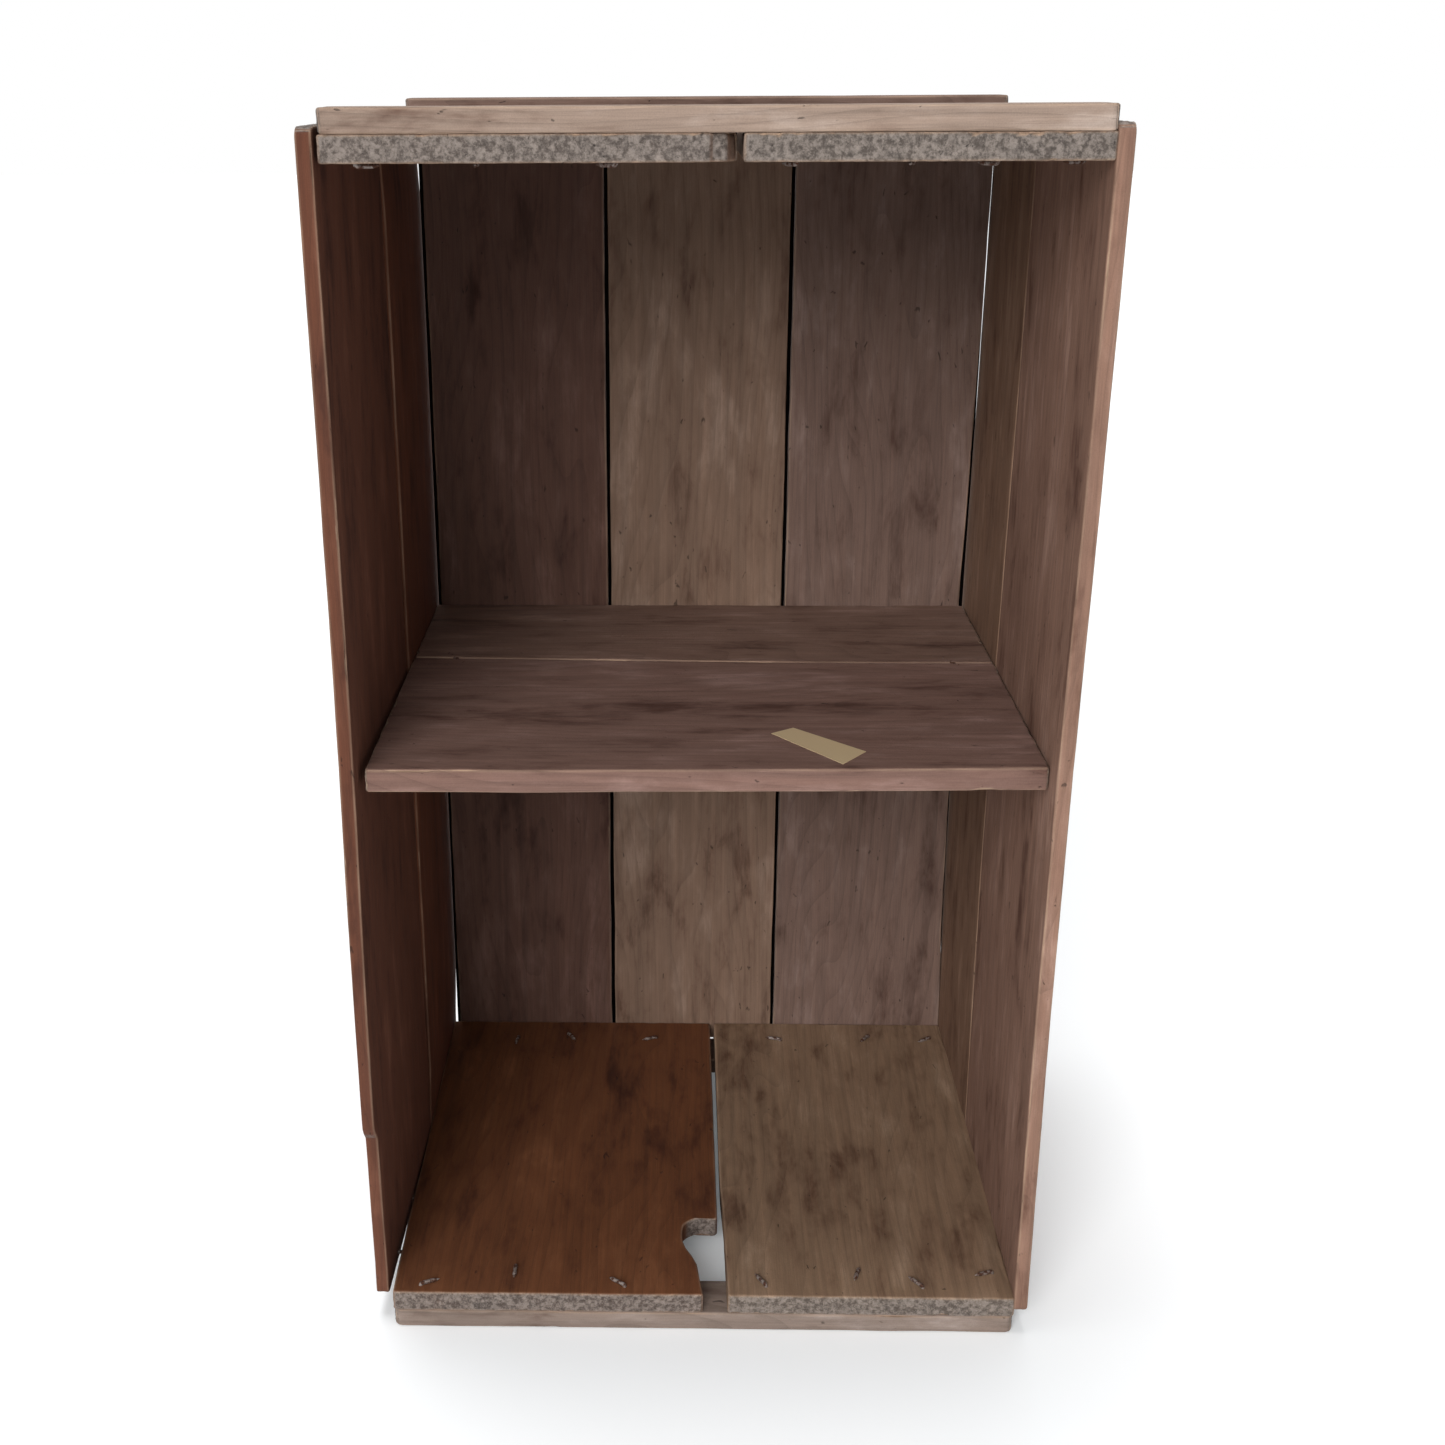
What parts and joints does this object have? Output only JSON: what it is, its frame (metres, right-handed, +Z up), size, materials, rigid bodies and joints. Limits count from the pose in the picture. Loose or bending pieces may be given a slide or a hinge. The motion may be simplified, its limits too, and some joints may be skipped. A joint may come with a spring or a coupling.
{
  "type": "wooden crate",
  "caption": "Old cleated wooden shipping case on end, open in front, with a middle partition as a shelf, worn boards, clinched nails and a knot hole.",
  "frame": {"origin": "centre of the outline seen from above, on the surface that the case stands on, at the underside of the bottom cleats", "axes": "+X to the right seen from the open front, +Y from the open front to the back boards, +Z up from the bottom cleats to the top cleats"},
  "size_m": [0.3767, 0.312, 0.6684],
  "materials": {
    "end_boards": "bare softwood, orange-brown to grey, worn and stained, grey end grain at the front",
    "cleats": "bare softwood, tan with grey weathering, rough sawn edges",
    "side_boards": "bare softwood, mauve-grey to orange-brown, worn pale front edges",
    "back_boards": "bare softwood, grey-brown with dark stains",
    "shelf_boards": "bare softwood, mauve-brown, rough pale front edge",
    "nail_steel": "old wire nails, dark rust with rubbed bright spots",
    "fastener_steel": "corrugated fasteners, dark rust",
    "tape_film": "dried yellowed tape with a whitish lifted crease"
  },
  "bodies": {
    "root": {"bottom_end_left_board": "end_boards", "bottom_end_right_board": "end_boards", "bottom_front_cleat": "cleats", "bottom_rear_cleat": "cleats", "top_end_left_board": "end_boards", "top_end_right_board": "end_boards", "top_front_cleat": "cleats", "top_rear_cleat": "cleats", "left_side_front_board": "side_boards", "left_side_rear_board": "side_boards", "right_side_front_board": "side_boards", "right_side_rear_board": "side_boards", "back_left_board": "back_boards", "back_middle_board": "back_boards", "back_right_board": "back_boards", "shelf_front_board": "shelf_boards", "shelf_rear_board": "shelf_boards", "left_corrugated_fastener": "fastener_steel", "right_corrugated_fastener": "fastener_steel", "bottom_front_cleat_nails": "nail_steel", "bottom_rear_cleat_nails": "nail_steel", "top_front_cleat_nails": "nail_steel", "top_rear_cleat_nails": "nail_steel", "left_side_end_nails": "nail_steel", "right_side_end_nails": "nail_steel", "left_side_shelf_nails": "nail_steel", "right_side_shelf_nails": "nail_steel", "back_bottom_nails": "nail_steel", "back_top_nails": "nail_steel", "back_shelf_nails": "nail_steel", "tape_scrap": "tape_film"}
  },
  "joints": []
}
